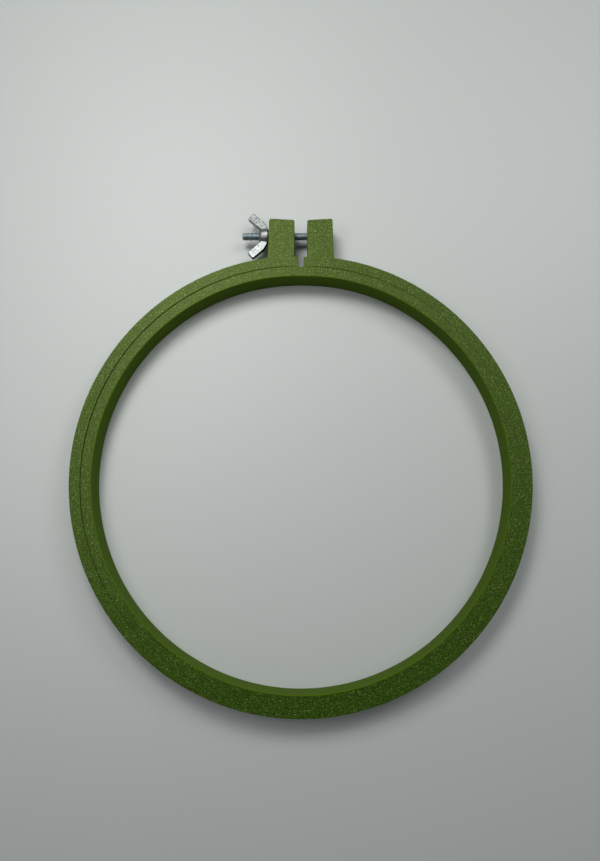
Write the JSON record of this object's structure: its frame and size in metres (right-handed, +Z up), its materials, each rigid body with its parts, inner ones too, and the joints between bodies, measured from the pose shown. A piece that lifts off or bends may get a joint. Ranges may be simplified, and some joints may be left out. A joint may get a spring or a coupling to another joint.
{
  "type": "embroidery hoop",
  "caption": "Round embroidery hoop: a split outer ring with clamp lugs closes on a plain inner ring, drawn together by a hex head screw and a wing nut.",
  "frame": {"origin": "middle of the underside of the part's box, so the ring's centre is at Y = -0.01192 m", "axes": "+Z up through the hoop's opening, +Y from the ring's centre towards the clamp, +X towards the screw's head"},
  "size_m": [0.214, 0.2378, 0.0125],
  "materials": {
    "green_plastic": "printed plastic: grainy top face, fine layer lines on the walls",
    "zinc_plated_steel": "bright bluish zinc plate",
    "cast_zinc": "bright plated casting, mottled faces"
  },
  "bodies": {
    "outer_ring": {"outer_ring": "green_plastic"},
    "inner_ring": {"inner_ring": "green_plastic"},
    "clamp_screw": {"clamp_screw": "zinc_plated_steel"},
    "wing_nut": {"wing_nut": "cast_zinc"}
  },
  "joints": [
    {"name": "wing_nut_turn", "type": "hinge", "parent": "outer_ring", "child": "wing_nut", "pos_m": [-0.01614, 0.10738, 0.00625], "axis": [-1, 0, 0], "range_deg": [0, 4320]},
    {"name": "screw_slide", "type": "slide", "parent": "outer_ring", "child": "clamp_screw", "axis": [1, 0, 0], "range_m": [0, 0.0085]},
    {"name": "inner_ring_lift", "type": "slide", "parent": "outer_ring", "child": "inner_ring", "axis": [0, 0, 1], "range_m": [0, 0.025]}
  ],
  "couplings": [
    {"joint": "screw_slide", "follows": "wing_nut_turn", "m_per_rad": 0.00011141}
  ]
}
